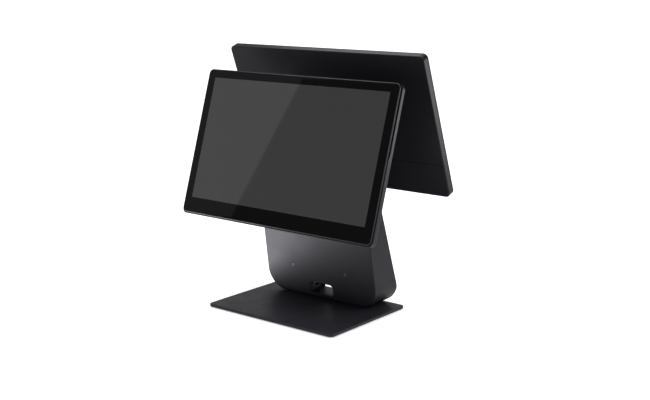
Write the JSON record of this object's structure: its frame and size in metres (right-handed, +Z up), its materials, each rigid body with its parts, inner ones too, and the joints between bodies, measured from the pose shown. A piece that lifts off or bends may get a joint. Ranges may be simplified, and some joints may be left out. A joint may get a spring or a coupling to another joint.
{
  "type": "pos touchscreen terminal",
  "caption": "Desk checkout terminal: a touch display for the operator and a customer display, back to back on tilting hinges, carried by a wide column with a cable slot on a flat steel base.",
  "frame": {"origin": "on the desk surface, at the centre of the footprint's box", "axes": "+X to the operator's right, +Y from the operator's side to the customer's side, +Z up"},
  "size_m": [0.3804, 0.2223, 0.4081],
  "materials": {
    "powder_coat": "fine satin powder coat",
    "housing_coat": "black satin coating on die-cast aluminium",
    "cover_glass": "polished, black border print",
    "dark_plastic": "fine moulded texture",
    "button_plastic": "satin",
    "screen": "unlit panel",
    "zinc_steel": "zinc plated",
    "black_steel": "black oxide",
    "bare_aluminium": "extruded",
    "circuit_board": "solder mask",
    "foot_rubber": "matte"
  },
  "bodies": {
    "stand": {"base_plate": "powder_coat", "foot_front_left": "foot_rubber", "foot_rear_left": "foot_rubber", "foot_front_right": "foot_rubber", "foot_rear_right": "foot_rubber", "base_bolt_1": "black_steel", "base_bolt_2": "black_steel", "base_bolt_3": "black_steel", "base_bolt_4": "black_steel", "column_shell": "powder_coat", "column_rear_cover": "powder_coat", "column_top_cap": "dark_plastic", "column_spine": "black_steel", "cable_slot_grommet": "dark_plastic", "column_screw_left": "black_steel", "column_screw_right": "black_steel", "hinge_head": "housing_coat", "main_hinge_pin": "zinc_steel", "customer_hinge_pin": "zinc_steel", "main_hinge_nut_left": "black_steel", "main_hinge_nut_right": "black_steel", "customer_hinge_nut_left": "black_steel", "customer_hinge_nut_right": "black_steel"},
    "main_display": {"main_glass": "cover_glass", "main_front_frame": "housing_coat", "main_lcd_panel": "screen", "main_panel_chassis": "zinc_steel", "main_rear_housing": "housing_coat", "mainboard": "circuit_board", "cpu_heat_sink": "bare_aluminium", "memory_module": "circuit_board", "ssd_module": "circuit_board", "io_shield": "zinc_steel", "electronics_cover": "dark_plastic", "speaker_left": "dark_plastic", "speaker_right": "dark_plastic", "main_hinge_plate": "black_steel", "power_switch": "dark_plastic", "port_power": "dark_plastic", "port_hdmi": "zinc_steel", "port_usb_1": "zinc_steel", "port_usb_2": "zinc_steel", "port_lan": "zinc_steel", "main_plate_screw_1": "black_steel", "main_plate_screw_2": "black_steel", "main_plate_screw_3": "black_steel", "main_plate_screw_4": "black_steel"},
    "customer_display": {"customer_glass": "cover_glass", "customer_front_frame": "housing_coat", "customer_lcd_panel": "screen", "customer_driver_board": "circuit_board", "customer_rear_cover": "housing_coat", "customer_lower_cover": "housing_coat", "customer_hinge_plate": "black_steel", "customer_plate_screw_1": "black_steel", "customer_plate_screw_2": "black_steel", "customer_plate_screw_3": "black_steel", "customer_plate_screw_4": "black_steel"},
    "power_button": {"power_button": "button_plastic"}
  },
  "joints": [
    {"name": "main_tilt", "type": "hinge", "parent": "stand", "child": "main_display", "pos_m": [0, -0.00832, 0.26105], "axis": [-1, 0, 0], "range_deg": [-15, 10]},
    {"name": "customer_tilt", "type": "hinge", "parent": "stand", "child": "customer_display", "pos_m": [0, 0.05125, 0.27518], "axis": [1, 0, 0], "range_deg": [-15, 10]},
    {"name": "power_press", "type": "slide", "parent": "main_display", "child": "power_button", "axis": [1, 0, 0], "range_m": [0, 0.0008], "stiffness_N_per_m": 1500, "springref_m": -0.001}
  ]
}
